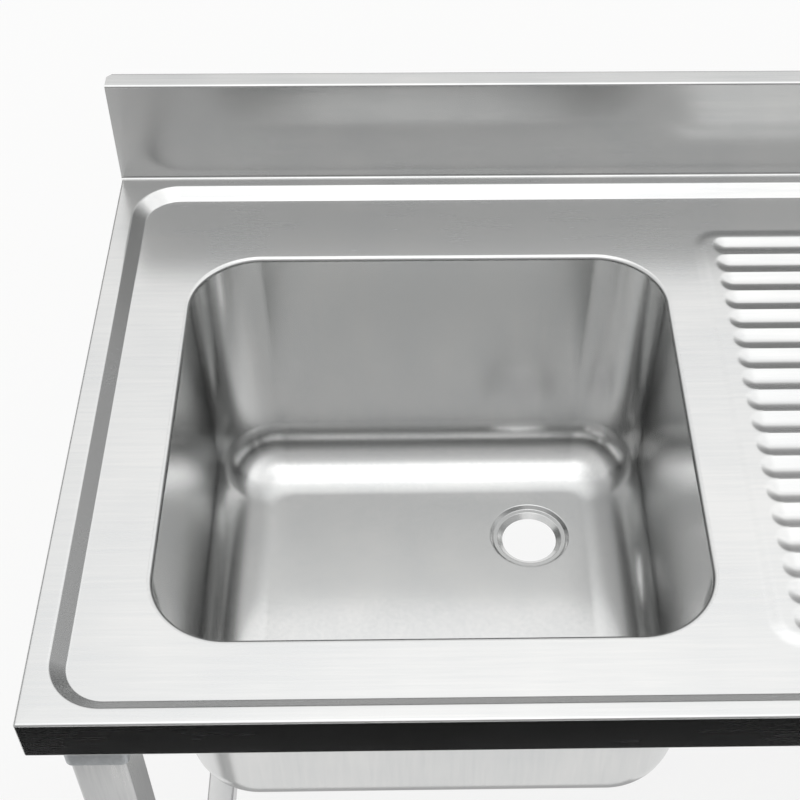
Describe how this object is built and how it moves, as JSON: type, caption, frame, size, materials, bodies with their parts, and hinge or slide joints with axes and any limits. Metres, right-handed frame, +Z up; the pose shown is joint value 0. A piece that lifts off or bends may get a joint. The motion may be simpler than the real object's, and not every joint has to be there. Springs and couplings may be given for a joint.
{
  "type": "sink table",
  "caption": "Free-standing stainless sink table: raised-rim top with a deep bowl on the left, ribbed drainer on the right, rear upstand, braced square legs and adjustable feet.",
  "frame": {"origin": "on the floor, under the middle of the table's bounding box", "axes": "+Z up, +X along the table from the bowl to the drainer, +Y from the front edge to the wall"},
  "size_m": [1.2, 0.6, 0.95],
  "materials": {
    "worktop_steel": "satin brushed stainless sheet",
    "bowl_steel": "deep drawn stainless, satin polished",
    "upstand_steel": "stainless sheet brushed along its length",
    "channel_steel": "mill finish folded sheet",
    "frame_steel": "brushed stainless square tube",
    "socket_steel": "mill finish welded stainless",
    "fastener_steel": "stainless screws",
    "spindle_steel": "turned plated steel spindle",
    "sound_pad": "self-adhesive damping mat",
    "foot_plastic": "moulded polyamide",
    "insert_plastic": "moulded polyamide"
  },
  "bodies": {
    "table": {"bowl": "bowl_steel", "bowl_sound_pad": "sound_pad", "drainer_channel_left": "channel_steel", "drainer_channel_right": "channel_steel", "foot_insert_front_left": "insert_plastic", "foot_insert_front_right": "insert_plastic", "foot_insert_rear_left": "insert_plastic", "foot_insert_rear_right": "insert_plastic", "leg_front_left": "frame_steel", "leg_front_right": "frame_steel", "leg_grub_screws": "fastener_steel", "leg_rear_left": "frame_steel", "leg_rear_right": "frame_steel", "leg_socket_front_left": "socket_steel", "leg_socket_front_right": "socket_steel", "leg_socket_rear_left": "socket_steel", "leg_socket_rear_right": "socket_steel", "middle_channel": "channel_steel", "rear_brace": "frame_steel", "rear_brace_bolts": "fastener_steel", "rear_brace_plugs": "insert_plastic", "side_brace_left": "frame_steel", "side_brace_right": "frame_steel", "splash_end_left": "upstand_steel", "splash_end_right": "upstand_steel", "splashback": "upstand_steel", "worktop": "worktop_steel"},
    "foot_front_left": {"foot_stem_front_left": "spindle_steel", "foot_pad_front_left": "foot_plastic"},
    "foot_front_right": {"foot_stem_front_right": "spindle_steel", "foot_pad_front_right": "foot_plastic"},
    "foot_rear_left": {"foot_stem_rear_left": "spindle_steel", "foot_pad_rear_left": "foot_plastic"},
    "foot_rear_right": {"foot_stem_rear_right": "spindle_steel", "foot_pad_rear_right": "foot_plastic"}
  },
  "joints": [
    {"name": "foot_front_left_height", "type": "slide", "parent": "table", "child": "foot_front_left", "axis": [0, 0, 1], "range_m": [-0.03, 0.012]},
    {"name": "foot_front_right_height", "type": "slide", "parent": "table", "child": "foot_front_right", "axis": [0, 0, 1], "range_m": [-0.03, 0.012]},
    {"name": "foot_rear_left_height", "type": "slide", "parent": "table", "child": "foot_rear_left", "axis": [0, 0, 1], "range_m": [-0.03, 0.012]},
    {"name": "foot_rear_right_height", "type": "slide", "parent": "table", "child": "foot_rear_right", "axis": [0, 0, 1], "range_m": [-0.03, 0.012]}
  ]
}
